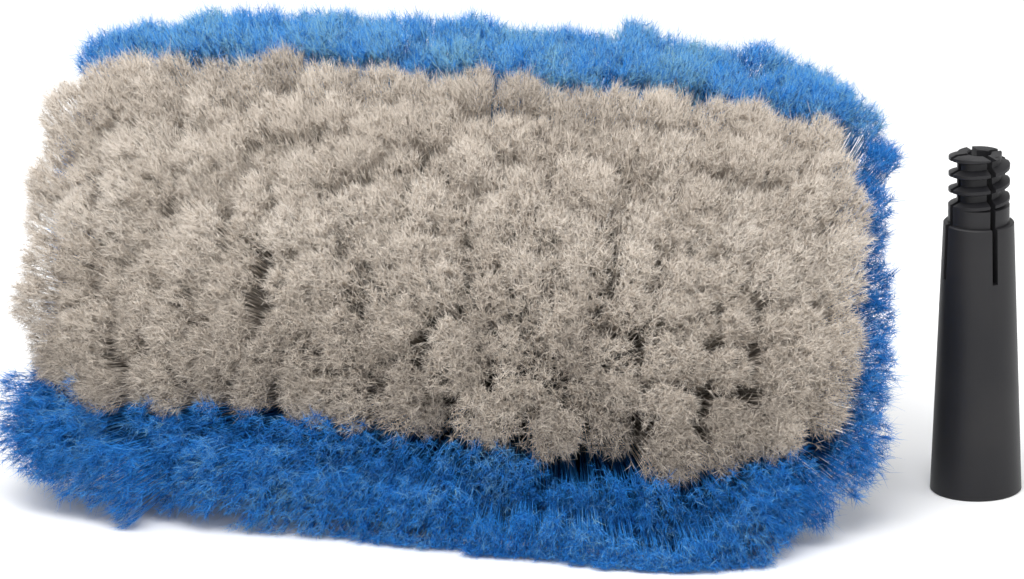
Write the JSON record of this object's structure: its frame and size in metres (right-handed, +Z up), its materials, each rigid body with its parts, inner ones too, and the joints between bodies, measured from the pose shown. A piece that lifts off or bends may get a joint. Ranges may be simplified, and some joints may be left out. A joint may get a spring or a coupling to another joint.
{
  "type": "car wash brush",
  "caption": "Soft rectangular wash brush head with grey centre and blue border bristles, an angled threaded handle socket behind it, and a loose tapered pole adapter with a split threaded nose.",
  "frame": {"origin": "middle of the whole part's footprint, on the floor", "axes": "+X along the brush from its free end to the adapter, +Y away from the bristle face along the handle socket, +Z up"},
  "size_m": [0.3056, 0.1702, 0.135],
  "materials": {
    "block_plastic": "fine-grained moulded plastic",
    "adapter_plastic": "fine-grained moulded plastic",
    "bristle_grey": "soft feathered filament",
    "bristle_blue": "soft feathered filament",
    "screw_steel": "zinc plated"
  },
  "bodies": {
    "brush": {"brush_block": "block_plastic", "bristles_grey_left": "bristle_grey", "bristles_grey_right": "bristle_grey", "bristles_blue_front": "bristle_blue", "bristles_blue_back": "bristle_blue", "handle_socket": "block_plastic", "socket_screw_1": "screw_steel", "socket_screw_2": "screw_steel", "socket_screw_3": "screw_steel", "socket_screw_4": "screw_steel"},
    "adapter": {"pole_adapter": "adapter_plastic"}
  },
  "joints": [
    {"name": "adapter_lift", "type": "slide", "parent": "brush", "child": "adapter", "axis": [0, 0, 1], "range_m": [0, 0.15]}
  ]
}
